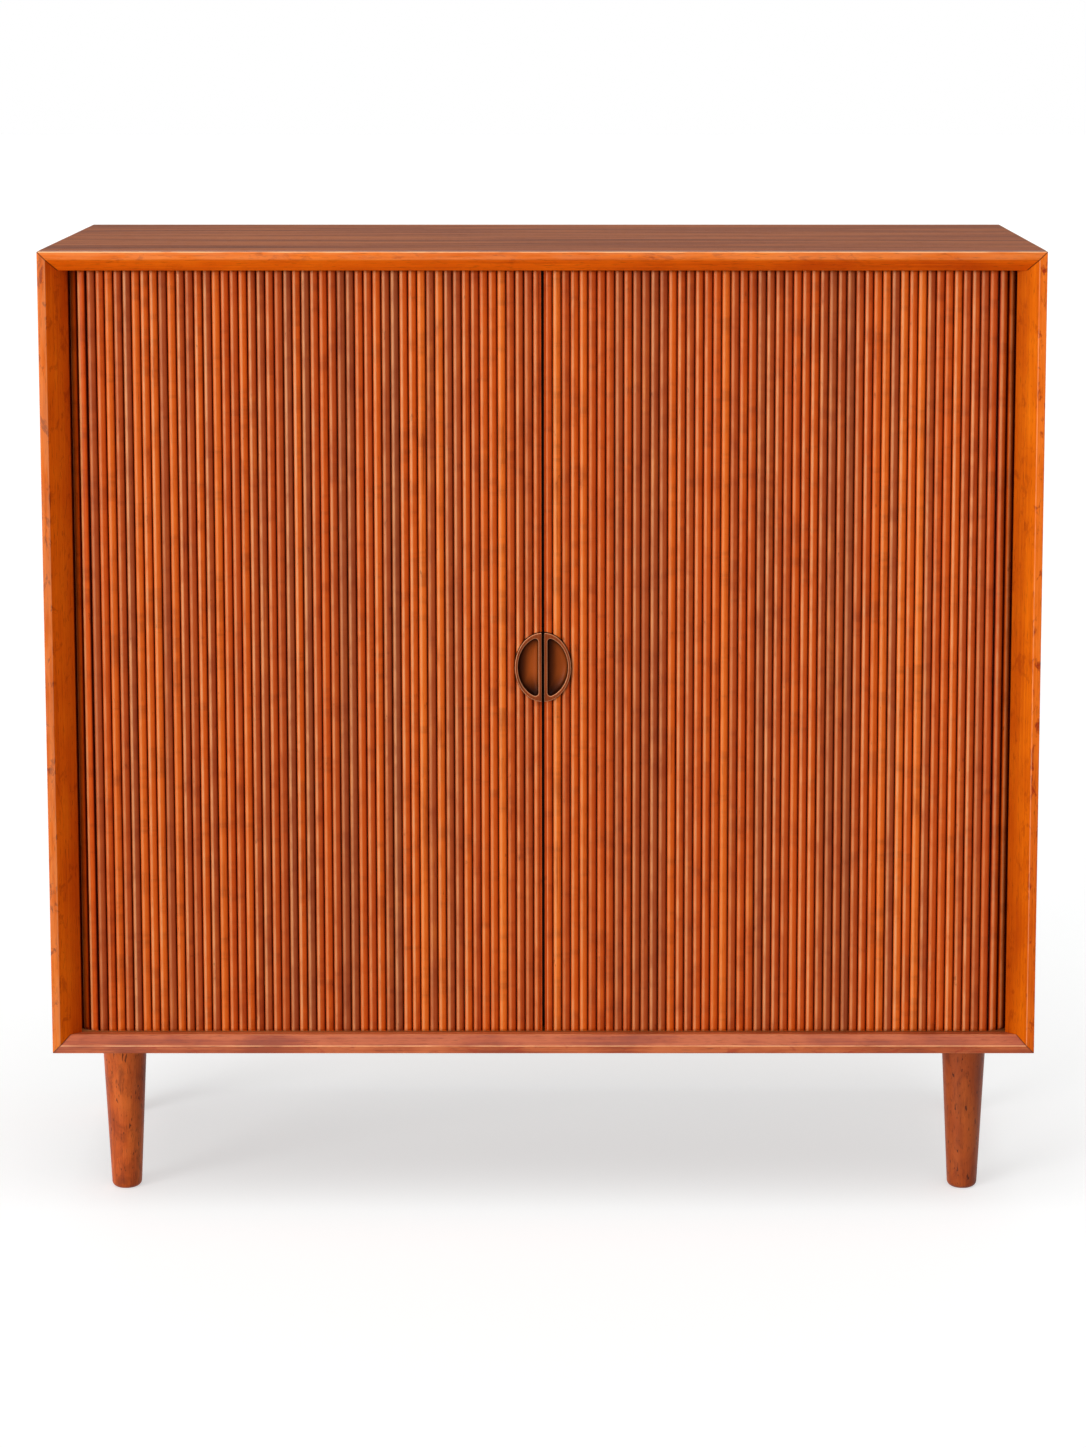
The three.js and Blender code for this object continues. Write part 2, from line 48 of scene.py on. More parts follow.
class Wire:
    """A shader socket that takes part in Python sums: every operator adds one Math node."""

    def __init__(self, tree, socket):
        self.tree, self.socket = tree, socket

    def node(self, kind, settings=None, inputs=None, output=0):
        """Adds a node, sets its settings and then its inputs, and gives one of its outputs."""
        made = self.tree.nodes.new("ShaderNode" + kind)
        for name, value in (settings or {}).items():
            if name == "stops":
                while len(made.color_ramp.elements) < len(value):
                    made.color_ramp.elements.new(0.5)
                for stop, (at, colour) in zip(made.color_ramp.elements, value):
                    stop.position, stop.color = at, (*colour, 1)
            else:
                setattr(made, name, value)
        for name, value in (inputs or {}).items():
            if isinstance(value, Wire):
                self.tree.links.new(value.socket, made.inputs[name])
            else:
                made.inputs[name].default_value = value
        return Wire(self.tree, made.outputs[output])

    def math(self, operation, *values):
        return self.node("Math", {"operation": operation}, dict(enumerate(values)))

    def __add__(self, other):
        return self.math("ADD", self, other)

    def __sub__(self, other):
        return self.math("SUBTRACT", self, other)

    def __rsub__(self, other):
        return self.math("SUBTRACT", other, self)

    def __mul__(self, other):
        return self.math("MULTIPLY", self, other)

    def __abs__(self):
        return self.math("ABSOLUTE", self)

    __radd__, __rmul__ = __add__, __mul__

    def part(self, axis):
        """One of the three numbers of a vector."""
        return self.node("SeparateXYZ", {}, {0: self}, "XYZ".index(axis))

    def mark(self, name):
        """The number that the points of a piece carry under a name."""
        return self.node("Attribute", {"attribute_name": name}, {}, 2)

    def step(self, low, high, start=0.0, end=1.0):
        """Goes smoothly from start to end while the value goes from low to high."""
        return self.node("MapRange", {"interpolation_type": "SMOOTHSTEP"},
                         {0: self, 1: low, 2: high, 3: start, 4: end})

    def ramp(self, *stops):
        return self.node("ValToRGB", {"stops": stops}, {0: self})

    def towards(self, colour, share, blend="MIX"):
        """This colour with a share of another one laid over it."""
        colour = colour if isinstance(colour, Wire) else (*colour, 1)
        return self.node("Mix", {"data_type": "RGBA", "blend_type": blend},
                         {0: share, 6: self, 7: colour}, 2)

    def stretched(self, along, by_length, across, shift=(0, 0, 0)):
        """These coordinates for noise with by_length lumps to the metre along one axis and
        across lumps to the metre along the others, taken from a place moved by shift."""
        scale = [by_length if axis == along else across for axis in "XYZ"]
        return self.node("Mapping", {}, {"Vector": self, "Scale": scale, "Location": shift})

    def noise(self, detail=2.0, rough=0.5, bend=0.0):
        """Soft random values from 0 to 1, about one lump to each unit of this vector."""
        return self.node("TexNoise", {}, {"Vector": self, "Scale": 1.0, "Detail": detail,
                                          "Roughness": rough, "Distortion": bend})

    def relief(self, depth, strength=1.0):
        """The normal of a surface that rises by depth, in metres, where this value is 1."""
        return self.node("Bump", {}, {"Strength": strength, "Distance": depth, "Height": self})


def rgb(red, green, blue):
    """A colour from its display numbers, 0 to 255, as the linear values that nodes take, by the
    standard curve of displays."""
    value = np.array([red, green, blue]) / 255
    return tuple(np.where(value <= 0.04045, value / 12.92, ((value + 0.055) / 1.055) ** 2.4))


def finish(name, fixed, paint):
    """A material: fixed numbers go on the shader's own sockets, and paint takes the Object
    coordinates and gives what varies over the surface, by socket."""
    made = bpy.data.materials.new(name)
    made.use_nodes = True
    tree = made.node_tree
    shader = tree.nodes["Principled BSDF"]
    for socket, value in fixed.items():
        shader.inputs[socket].default_value = value
    place = Wire(tree, tree.nodes.new("ShaderNodeTexCoord").outputs["Object"])
    for socket, wire in paint(place).items():
        tree.links.new(wire.socket, shader.inputs[socket])
    return made


def refinish(node, material):
    """Gives a CAD solid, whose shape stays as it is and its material."""
    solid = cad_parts[node]
    solid.data.materials.clear()
    solid.data.materials.append(material)


def timber(place, along, tones, shift=(0, 0, 0), streak=1.0, pores=0.5, mottle=0.3, dull=0.34):
    """Straight-grained wood: its tone is bands of about 30 mm plus fibres of 2 mm plus a soft
    mottle, and is darkened by short open pores along the grain. Fibres and pores also give its
    relief, of less than a tenth of a millimetre. Streak, pores and mottle say how strong each
    of these is, and dull is the least roughness."""
    band = place.stretched(along, 1.6, 34, shift).noise(bend=0.8)
    fibre = place.stretched(along, 7, 520, shift).noise(3, 0.6)
    cloud = place.stretched(along, 16, 30, shift).noise(3)
    pore = place.stretched(along, 75, 1500, shift).noise(1).step(0.62, 0.74)
    tone = 0.5 + (band - 0.5) * (1.1 * streak) + (fibre - 0.5) * (0.9 * streak)
    colour = (tone + (cloud - 0.5) * mottle).ramp(*tones)
    pore_colour = tuple(0.2 * value for value in tones[0][1])
    return {"Base Color": colour.towards(pore_colour, pore * pores),
            "Normal": (fibre * 0.5 - pore).relief(6e-5),
            "Roughness": dull + fibre * 0.16 + pore * 0.2}


veneer_tones = ((0.22, rgb(104, 50, 20)), (0.5, rgb(134, 68, 30)), (0.78, rgb(160, 90, 46)))


def veneer_paint(along, shift, streak):
    """Oiled veneer: dull timber with little mottle, its grain along an axis."""
    return lambda place: timber(place, along, veneer_tones, shift, streak, mottle=0.2, dull=0.55)


veneer_polish = {"Specular IOR Level": 0.08}
across_paint = veneer_paint("X", (0, 0, 0), streak=1.3)
across_veneer = finish("veneer_across", veneer_polish, across_paint)
upright_veneer = finish("veneer_upright", veneer_polish, veneer_paint("Z", (3, 0, 0), streak=0.9))
for node, material in (("top_panel", across_veneer), ("bottom_panel", across_veneer),
                       ("left_side_panel", upright_veneer), ("right_side_panel", upright_veneer)):
    refinish(node, material)

# Front lippings
# Solid wood along the front edge of the four boards, planed to a narrow edge that slopes back to
# the curtains, mitred at the corners and glued on. The veneer of the top runs out over them.
edge = 0.0085  # width of the narrow face in front
slope = 1.2  # how far the slope goes inwards for each unit that it goes back
joint = 0.0001  # a rail stops this short of the line of the mitre, and a stile twice this
end_run, end_share = 0.0004, 0.012  # the last stretch of a lipping, and how much it draws in
case_low, case_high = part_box("bottom_panel")[0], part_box("top_panel")[1]
half_width = case_high.x
front_y, board_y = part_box("top_front_rail")[0].y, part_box("top_panel")[0].y
lipping_depth = board_y - front_y
top_thickness = case_high.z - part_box("top_front_rail")[0].z
bottom_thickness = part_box("bottom_front_rail")[1].z - case_low.z


def closed(name, rings, smooth=0.6, **marks):
    """A mesh over rings of points, as copies x rings x points: neighbouring rings are joined by
    walls, the first and last are capped, and the faces are turned outwards by its volume. Edges
    sharper than smooth, in radians, stay sharp, and marks are numbers that the points carry."""
    rings = np.asarray(rings, float)
    rings = rings[None] if rings.ndim == 3 else rings
    number = np.arange(rings[..., 0].size).reshape(rings.shape[:3])
    beside = np.roll(number, -1, axis=2)
    walls = np.stack([number[:, :-1], beside[:, :-1], beside[:, 1:], number[:, 1:]], -1)
    points = rings.reshape(-1, 3)
    a, b, c, d = (points[walls.reshape(-1, 4)[:, i]] for i in range(4))
    inside = points.mean(0)
    volume = sum((np.cross(p - inside, q - inside) * (r - inside)).sum()
                 for p, q, r in ((a, b, c), (a, c, d)))
    faces = walls.reshape(-1, 4).tolist() + number[:, 0, ::-1].tolist() + number[:, -1].tolist()
    if volume < 0:
        faces = [face[::-1] for face in faces]
    mesh = bpy.data.meshes.new(name)
    mesh.from_pydata(points, [], faces)
    for mark, values in marks.items():
        values = np.broadcast_to(values, rings.shape[:3]).astype(np.float32)
        mesh.attributes.new(mark, "FLOAT", "POINT").data.foreach_set("value", values.ravel())
    mesh.shade_smooth()
    mesh.set_sharp_from_angle(angle=smooth)
    made = bpy.data.objects.new(name, mesh)
    bpy.context.scene.collection.objects.link(made)
    return made


def dress(piece, material, body, slot=None, *replaced):
    """Gives a piece its material and its body, and hides the CAD nodes that it stands for. Its
    slot is not used.
    """
    piece.data.materials.append(material)
    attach(piece, body)
    if replaced:
        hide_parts(*replaced)


def eased(corners, radii):
    """A closed section with each corner rounded: a quadratic curve that leaves one side at the
    radius from the corner and meets the next side at the same distance, in four steps."""
    corners = np.array(corners, float)
    share = np.linspace(0, 1, 5)[:, None]
    points = []
    for i, (corner, radius) in enumerate(zip(corners, radii)):
        before, after = corners[i - 1] - corner, corners[(i + 1) % len(corners)] - corner
        start = corner + before / np.linalg.norm(before) * radius
        end = corner + after / np.linalg.norm(after) * radius
        points.append((1 - share) ** 2 * start + 2 * share * (1 - share) * corner
                      + share ** 2 * end)
    return np.concatenate(points)


def slope_end(thickness):
    """Where the slope of a lipping of this thickness ends, as (inset from the outer face, depth
    from the front)."""
    return thickness, (thickness - edge) / slope


def drawn_in(section, drawn):
    """A section of a lipping, or where drawn is 1 the smaller one that its end draws in to."""
    return section + (section.mean(0) - section) * end_share * drawn


def worn(face, *arrises):
    """How much each point of an eased section is painted pale: a bump over the curve of each
    arris, as high as is given for it, which is a painted highlight over some rubbing from use,
    and an even paleness of the narrow face between the first two."""
    light_and_wear = np.outer(arrises, (0, 0.9, 1, 0.9, 0))
    light_and_wear[0, 4] = light_and_wear[1, 0] = face
    return light_and_wear.ravel()


lipping_tones = ((0.2, rgb(204, 81, 8)), (0.5, rgb(231, 106, 16)), (0.8, rgb(246, 127, 34)))
right_tones = ((0.2, rgb(194, 80, 12)), (0.5, rgb(220, 104, 24)), (0.8, rgb(238, 126, 44)))
sill_tones = ((0.2, rgb(146, 62, 28)), (0.5, rgb(174, 82, 40)), (0.8, rgb(192, 100, 54)))


def lipping_paint(along, tones, slope_shade, back_shade, shift, streak=0.7, flecks=0.6, mottle=0.6):
    """Lipping wood with slanting dark flecks, recoloured on its slope by a darker, redder colour
    and painted shade, with more painted shade towards the back of it. It turns into the top's
    veneer on top, is painted paler in patches along its arrises, a painted highlight over some
    rubbing, and dark along the mitres, which run where a point is as far from a side of the case
    as from its top or bottom, and end where the slopes of the rails do."""
    def paint(place):
        wood = timber(place, along, tones, shift, streak=streak, mottle=mottle)
        fleck = place.stretched(along, 45, 110, shift).noise(4, 0.65, 0.6).step(0.55, 0.68)
        depth, height = place.part("Y"), place.part("Z")
        sloping = depth.step(front_y + 0.0004, front_y + 0.0012)
        flecked = fleck * (1 - sloping * 0.6) * flecks
        colour = wood["Base Color"].towards(rgb(150, 46, 16), flecked)
        # Painted shade on the slope, and more of it towards the back.
        colour = colour.towards(slope_shade, sloping, "MULTIPLY")
        colour = colour.towards(back_shade, depth.step(front_y + 0.002, board_y), "MULTIPLY")
        on_top = height.step(case_high.z - 0.0004, case_high.z - 0.0001)
        colour = colour.towards(across_paint(place)["Base Color"], on_top)
        # A painted highlight over some rubbing, in patches along the arrises.
        patchy = place.stretched(along, 26, 260, shift).noise(3).step(0.32, 0.6, 0.35, 0.9)
        colour = colour.towards(rgb(255, 190, 136), place.mark("worn") * patchy)
        from_top, from_bottom = case_high.z - height, height - case_low.z
        from_end = place.math("MINIMUM", from_top, from_bottom)
        off_mitre = abs(half_width - abs(place.part("X")) - from_end)
        past_rails = place.math("MINIMUM", from_top - top_thickness,
                                from_bottom - bottom_thickness) * -1.0
        dark = off_mitre.step(0.0003, 0.0011, 0.85, 0) * past_rails.step(-0.0002, 0.0006)
        return {**wood, "Base Color": colour.towards(rgb(84, 26, 6), dark)}
    return paint


# The two colours after the tones are the painted shade of the slope and of its back, set for each
# lipping.
rail_wood = finish("lipping_across", {"Specular IOR Level": 0.06}, lipping_paint(
    "X", lipping_tones, (1.05, 0.88, 0.2), (1, 1, 1), (0, 0, 0), flecks=0.4))
sill_wood = finish("lipping_sill", {"Specular IOR Level": 0.34}, lipping_paint(
    "X", sill_tones, (0.91, 0.84, 0.84), (1, 1, 1), (2, 0, 0), streak=1.3, mottle=1.8))
left_stile_wood = finish("lipping_left", {"Specular IOR Level": 0.03}, lipping_paint(
    "Z", lipping_tones, (0.92, 0.78, 0.2), (0.68, 0.48, 0.2), (5, 1, 0), flecks=1))
right_stile_wood = finish("lipping_right", {"Specular IOR Level": 0.03}, lipping_paint(
    "Z", right_tones, (0.93, 0.92, 0.14), (0.64, 0.44, 0.1), (5, 1, 0), flecks=1))
# The numbers of each rail say how pale its narrow face is and how strongly each arris carries the
# painted highlight.
rails = (
    ("top_front_rail", rail_wood, worn(0.16, 1.2, 0.1, 0, 0, 0), top_thickness, case_high.z, -1),
    ("bottom_front_rail", sill_wood, worn(0, 0, 0.8, 0.3, 0, 0), bottom_thickness, case_low.z, 1))
for node, wood, light_and_wear, thickness, outer_z, inwards in rails:
    corners = ((0, 0), (edge, 0), slope_end(thickness), (thickness, lipping_depth),
               (0, lipping_depth))
    section = eased(corners, (0.0013, 0.0007, 0.001, 0.0001, 0.0001))
    rings = []
    for side, drawn in ((-1, 1), (-1, 0), (1, 0), (1, 1)):
        inset, depth = drawn_in(section, drawn).T
        x = side * (half_width - joint - inset - end_run * (1 - drawn))
        rings.append(np.stack([x, front_y + depth, outer_z + inwards * inset], -1))
    dress(closed(node.replace("front_rail", "lipping"), [rings], worn=light_and_wear), wood, "case",
          "front_lipping", node)
# A stile is wider, and its slope runs on past the two places where the slopes of the rails end.
# Its mitre turns there, so its section has a corner at each, but only the middle one of the five
# points of those two, which lie on a straight line.
corners = ((0, 0), (edge, 0), slope_end(bottom_thickness), slope_end(top_thickness),
           (edge + lipping_depth * slope, lipping_depth), (0, lipping_depth))
stile_points = np.r_[0:10, 12, 17, 20:30]
section = eased(corners, (0.0012, 0.0007, 0.00003, 0.00003, 0.0002, 0.0001))[stile_points]
stile_ends = ((case_low.z, 1, bottom_thickness, 1), (case_low.z, 1, bottom_thickness, 0),
              (case_high.z, -1, top_thickness, 0), (case_high.z, -1, top_thickness, 1))
# Face is the paleness of a stile's narrow face and outer arris, and arris the painted highlight
# on its inner arris.
for side, side_name, wood, face, arris in ((-1, "left", left_stile_wood, 0.22, 0.35),
                                           (1, "right", right_stile_wood, 0, 0.34)):
    rings = []
    for outer_z, inwards, thickness, drawn in stile_ends:
        inset, depth = drawn_in(section, drawn).T
        rise = np.minimum(inset, thickness) + 2 * joint + end_run * (1 - drawn)
        rings.append(np.stack([side * (half_width - inset), front_y + depth,
                               outer_z + inwards * rise], -1))
    light_and_wear = worn(face, face, arris, 0, 0, 0, 0)[stile_points]
    dress(closed(side_name + "_stile", [rings], worn=light_and_wear), wood, "case", "front_lipping",
          side_name + "_front_stile")

# Back panel and its screws
# A thin plywood panel let into rebates, with its grain upright, held by a row of small slotted
# screws along each edge. The panel is the CAD solid, and the screws are this scene's own.
inner_tones = ((0.2, rgb(150, 94, 52)), (0.5, rgb(184, 128, 76)), (0.8, rgb(206, 152, 98)))
inner_polish = {"Specular IOR Level": 0.12}
screw_inset = 0.009  # from the edge of the panel to the middle of a screw
first_up, first_along = 0.07, 0.09  # from a corner of the panel to the first screw of a row


def plywood_paint(place):
    """Pale timber with its grain upright."""
    return timber(place, "Z", inner_tones, (9, 2, 0), streak=0.9)


refinish("back_panel", finish("inner_back", inner_polish, plywood_paint))


def metal_paint(tone):
    """Dull metal: fine scratches one way change its roughness, and a faint cloud its colour."""
    def paint(place):
        scratch = place.stretched("X", 90, 2600).noise(2)
        cloud = place.stretched("X", 60, 60).noise(3)
        return {"Base Color": cloud.ramp((0.3, tuple(0.75 * c for c in tone)), (0.7, tone)),
                "Roughness": 0.3 + scratch * 0.25}
    return paint


brass = finish("screw_brass", {"Metallic": 1.0}, metal_paint(rgb(196, 156, 88)))


def screws(name, places, outwards, turns, radius=0.0033, dome=0.0011):
    """Slotted heads: rings about the screw's line that shrink as they rise to a dome, all
    pressed down to one depth where they lie in the slot. Turns are the angles of the slots. The
    profile gives the size and the height of each ring, as shares of the radius and the dome."""
    turn = np.linspace(0, 2 * np.pi, 20, endpoint=False)
    outwards = np.array(outwards, float)
    aside = (0.3, 0.5, 0.8)  # any direction off the screw's line
    across = np.cross(outwards, aside)
    across /= np.linalg.norm(across)
    up = np.cross(outwards, across)
    profile = ((1.0, 0.0), (1.0, 0.2), (0.9, 0.55), (0.62, 0.85), (0.3, 1.0))
    slot_half, slot_floor = 0.18 * radius, 0.3 * dome
    rings = []
    for place, angle in zip(places, turns):
        rows = []
        for size, rise in profile:
            x, y = radius * size * np.cos(turn), radius * size * np.sin(turn)
            lift = np.where((np.abs(y) < slot_half) & (size < 1), slot_floor, rise * dome)
            a, b = x * np.cos(angle) - y * np.sin(angle), x * np.sin(angle) + y * np.cos(angle)
            rows.append(np.array(place) + a[:, None] * across + b[:, None] * up
                        + lift[:, None] * outwards)
        rings.append(rows)
    return closed(name, rings, smooth=0.5)


low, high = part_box("back_panel")
sides_z = np.linspace(low.z + first_up, high.z - first_up, 5)
ends_x = np.linspace(low.x + first_along, high.x - first_along, 6)
places = [(x, high.y, z) for x in (low.x + screw_inset, high.x - screw_inset) for z in sides_z]
places += [(x, high.y, z) for z in (low.z + screw_inset, high.z - screw_inset) for x in ends_x]
rng = np.random.default_rng(4)
dress(screws("back_screws", places, (0, 1, 0), rng.uniform(0, np.pi, len(places))), brass, "case")

# Divider, pocket walls and shelves
# Lighter boards inside: a centre divider, two false walls that keep what is stored off the open
# curtains, and four loose shelves on wooden pins. All are the CAD solids as they are.
inner_boards = ((("centre_divider",), "Z"), (("left_pocket_wall", "right_pocket_wall"), "Z"),
                (("left_lower_shelf", "left_upper_shelf", "right_lower_shelf",
                  "right_upper_shelf"), "X"))


def inner_paint(along, front):
    """Pale veneer with a strip of darker solid wood, 3 mm deep, along the front edge, painted
    black as shade behind the gap where the curtains meet."""
    def paint(place):
        wood = timber(place, along, inner_tones, (0, 4, 7), streak=0.9)
        strip = place.part("Y").step(front + 0.0032, front + 0.0028)
        # Painted shade: black behind the gap where the curtains meet.
        gap_shade = abs(place.part("X")).step(0.0042, 0.003)
        colour = wood["Base Color"].towards(rgb(84, 36, 16), strip * 0.9)
        return {**wood, "Base Color": colour.towards(rgb(12, 4, 2), strip * gap_shade)}
    return paint


for nodes, along in inner_boards:
    board = finish(nodes[0] + "_wood", inner_polish, inner_paint(along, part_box(nodes[0])[0].y))
    for node in nodes:
        refinish(node, board)

# Curtain slats
# Reeded slats with a rounded face, 54 to a curtain, glued on canvas. Each end is rounded over to
# a shoulder, and its thinner tongue runs in the groove. The first slat has a low flat lead edge.
slat_count = 54
shaded_slat = 52  # from this one on, slats lie in the shadow of the stile
pitch = 0.0096  # from slat to slat
slat_half = 0.00465
slat_side = 0.0022  # height of a slat's sides, where its rounded face starts
slat_height = 0.0064
crown_spread = 0.00012  # how far the crown of a slat may lie from the mean of all
tongue = 0.004  # thickness of a tongue
shoulder_gap = 0.001  # between a slat's shoulder and the board
hole_wide, hole_tall = 0.0303, 0.0387  # half axes of the hole for the two pulls
lead_edge, band_end, band_high = -0.0043, -0.00185, 0.0043  # the flat band of the first slat
lead_middle, lead_half = 0.0014, 0.00325  # the half oval beside that band
front_run = 0.485  # from the lead edge along the front to the start of the corner
track_radius = 0.0285
run_levels = 10  # levels of a slat's run, unless the hole trims its side
spare_low, spare_high = (0.4, 0.5, 0.55), (0.67, 0.75, 0.9)  # heights of levels to spare
right_numbers = 100  # added to the numbers of the right slats, for a figure of their own
# The frame gives places in single precision, so they are rounded to a thousandth of a millimetre.
meeting = round(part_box("right_pull")[0].x, 6)  # half of the gap where the curtains meet
track_y = round(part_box("left_lead_slats")[0].y + slat_height, 6)
turn_x, turn_y = meeting + front_run, track_y + track_radius
floor_z, ceiling_z = round(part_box("bottom_panel")[1].z, 6), round(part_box("top_panel")[0].z, 6)
tongue_low, tongue_high = (round(corner.z, 6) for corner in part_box("left_curtain_panel"))
slat_low, slat_high = floor_z + shoulder_gap, ceiling_z - shoulder_gap
pull_z = round(sum(corner.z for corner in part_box("left_pull")) / 2, 6)
# Each part of a curtain is a body, with its CAD node and its slats.
curtain_parts = (("lead", "lead_slats", range(0, 10)), ("turning_1", "turning_slat_1", [10]),
                 ("turning_2", "turning_slat_2", [11]), ("turning_3", "turning_slat_3", [12]),
                 ("turning_4", "turning_slat_4", [13]), ("panel", "curtain_panel", range(14, 51)),
                 ("tail_1", "tail_slat_1", [51]), ("tail_2", "tail_slat_2", [52]),
                 ("tail_3", "tail_slat_3", [53]))


def on_track(slat, across, out, z, side):
    """Points of a slat at a distance across from its middle and out from its back: the middle of
    the slat lies on the track, straight along the front or turned with the corner's quarter
    circle."""
    distance = pitch * (slat + 0.5)
    angle = np.clip((distance - front_run) / track_radius, 0, np.pi / 2)
    x = meeting + distance if distance <= front_run else turn_x + track_radius * np.sin(angle)
    y = turn_y - track_radius * np.cos(angle)
    x = x + across * np.cos(angle) + out * np.sin(angle)
    y = y + across * np.sin(angle) - out * np.cos(angle)
    return np.stack(np.broadcast_arrays(side * x, y, z), -1)


def hole_half(at, half_along, half_across):
    """Half of the width of the oval hole, at a distance from its middle along its other axis:
    half_across times the root of 1 - (at / half_along) ** 2, and none past the end."""
    return half_across * np.sqrt(np.clip(1 - (at / half_along) ** 2, 0, 1))


def slat_section(slat, side):
    """Section as distances across and out: the back, a low side, a half oval whose cosine and
    sine are raised to 0.8, which squares it, and a low side. The first slat has a flat band at
    its lead edge, and its oval starts beside it. Crowns differ by up to a quarter of a
    millimetre, as scraped wood does."""
    crown = slat_height - crown_spread - crown_spread * np.sin(slat * 12.9898 + side * 3.1)
    turn = np.linspace(0, np.pi, 9)
    if slat == 0:
        turn = np.linspace(np.pi / 7, np.pi, 7)
    wide = -np.sign(np.cos(turn)) * np.abs(np.cos(turn)) ** 0.8
    tall = np.clip(np.sin(turn), 0, 1) ** 0.8
    across, out = slat_half * wide, slat_side + (crown - slat_side) * tall
    if slat == 0:
        low = np.where(turn < np.pi / 2, band_high, slat_side)
        across = np.concatenate([[lead_edge, band_end], lead_middle + lead_half * wide])
        out = np.concatenate([[band_high, band_high], low + (crown - low) * tall])
    return np.concatenate([across[:1], across, [slat_half]]), np.concatenate([[0], out, [0]])


def slat_mark(slat, across, out, side):
    """What the points of a slat carry for their painted highlight and shade: their distance to
    the left of its middle. The flat band of the first slat is marked as the foot of a flank
    instead, which is painted dark as shade at the gap where the curtains meet."""
    dark = np.where(out > tongue, 0.0039, 0.006)
    return np.where((slat > 0) | (across > band_end), -side * across, dark)


def slat_runs(slat, across):
    """Levels of a slat as (height, share of the crown): one run from end to end, or two where
    the hole of the pull cuts it, with the oval's height over each point. Those two have levels
    to spare, so that they have as many as a whole run. The crown sinks to each shoulder along
    a curve that steepens, and its share is none from 0.1 mm past it to the end of the tongue."""
    ease = ((-0.0001, 0.0), (0.0, 0.45), (0.0009, 0.82), (0.0028, 1.0))
    lower = [(tongue_low, 0)] + [(slat_low + rise, share) for rise, share in ease]
    upper = [(slat_high - rise, share) for rise, share in ease[::-1]] + [(tongue_high, 0)]
    reach = pitch * (slat + 0.5) + across
    if reach.min() > hole_wide:
        return [lower + upper]
    hole = hole_half(reach, hole_wide, hole_tall)
    if reach.max() > hole_wide:
        round_hole = hole.max() * np.sin(np.linspace(-1.57, 1.57, 11))
        return [lower + [(pull_z + rise, 1) for rise in round_hole] + upper]
    under = [(z, 1) for z in (*spare_low, pull_z - hole - 0.001, pull_z - hole)]
    over = [(z, 1) for z in (pull_z + hole, pull_z + hole + 0.001, *spare_high)]
    return [lower + under, over + upper]


def slat_tones(side):
    """Tone and paleness of the slats of a curtain, from 0 to 1: random for each slat, about a
    level that drifts, lower in the middle of the left curtain. Paleness is the strength of a
    slat's painted highlight. The two leads are alike, and so are the slats in the shadow of the
    stiles."""
    rng = np.random.default_rng(7 + side)
    number = np.arange(slat_count)
    drift = 0.06 * np.sin(number * 0.31 + side) + 0.05 * np.sin(number * 0.83 + 2 * side)
    if side < 0:
        drift = drift - 0.2 * np.exp(-((number - 28) / 6.5) ** 2)
    tone = 0.5 + drift + rng.uniform(-0.42, 0.42, slat_count)
    pale = rng.uniform(0, 1, slat_count)
    tone[shaded_slat:], pale[shaded_slat:] = 0.6, 0.2
    tone[0], pale[0] = 0.55, 0.7
    return np.clip(tone, 0, 1), pale


def slat_paint(place):
    """Slat wood, its grain along Z: every slat has its own tone and its own piece of figure, by
    the marks that its points carry, with flecks and pores. A faint figure runs on from slat to
    slat, as they were ripped from one board. The across mark is the distance to the left of a
    slat's
    middle: left of it the crowns carry a painted highlight, some more than others, right of it
    painted shade, and both flanks are darkened and reddened with painted shade that turns near
    black in the gaps."""
    slat, tone, pale, across = (place.mark(name) for name in ("slat", "tone", "pale", "across"))
    spot = place.node("CombineXYZ", {}, {0: across, 1: slat * 0.37, 2: place.part("Z")})
    fibre = spot.stretched("Z", 5, 640).noise(3, 0.6)
    ripple = spot.stretched("Z", 28, 40).noise(3, 0.6, 0.4)
    cloud = spot.stretched("Z", 7, 60).noise()
    pore = spot.stretched("Z", 60, 1400).noise(1).step(0.64, 0.76)
    fleck = spot.stretched("Z", 55, 160).noise(4, 0.7).step(0.64, 0.74)
    board = place.node("CombineXYZ", {}, {0: slat * pitch, 2: place.part("Z")})
    figure = board.stretched("Z", 22, 38).noise(4, 0.6, 1.4)
    colour = tone.ramp((0.0, rgb(150, 78, 48)), (0.25, rgb(177, 79, 32)), (0.5, rgb(198, 84, 20)),
                       (0.75, rgb(209, 94, 22)), (1.0, rgb(229, 118, 40)))
    light = 0.5 + (fibre - 0.5) * 1.3 + (ripple - 0.5) * 0.9 + (cloud - 0.5) * 0.9
    colour = colour.towards(rgb(124, 36, 6), light.step(-0.1, 0.5, 0.7, 0))
    colour = colour.towards(rgb(246, 140, 46), light.step(0.55, 1.2, 0, 0.4))
    colour = colour.towards(rgb(110, 34, 10), figure.step(0.48, 0.7) * 0.32)
    # Painted highlight on the left of each crown, stronger on paler slats.
    left_flank = across.step(0.0001, 0.0016) * across.step(0.0039, 0.0029)
    painted_highlight = left_flank * (pale * 0.4 + 0.2) * ripple.step(0.3, 0.65, 0.6, 1.3)
    colour = colour.towards(rgb(222, 154, 106), painted_highlight)
    colour = colour.towards(rgb(70, 20, 8), pore * 0.35 + fleck * 0.45)
    # Painted shade to the right of a slat's middle.
    colour = colour.towards((0.95, 0.77, 0.52), across.step(0.0013, -0.0003), "MULTIPLY")
    flank = abs(across)
    # Painted shade down both flanks, near black in the gaps between slats.
    colour = colour.towards((1.0, 0.72, 0.4), flank.step(0.0024, 0.0036), "MULTIPLY")
    colour = colour.towards(rgb(64, 2, 0), flank.step(0.0036, 0.0046) * 0.95)
    return {"Base Color": colour, "Normal": (fibre * 0.5 + ripple * 0.6 - pore).relief(8e-5),
            "Roughness": 0.32 + fibre * 0.14}


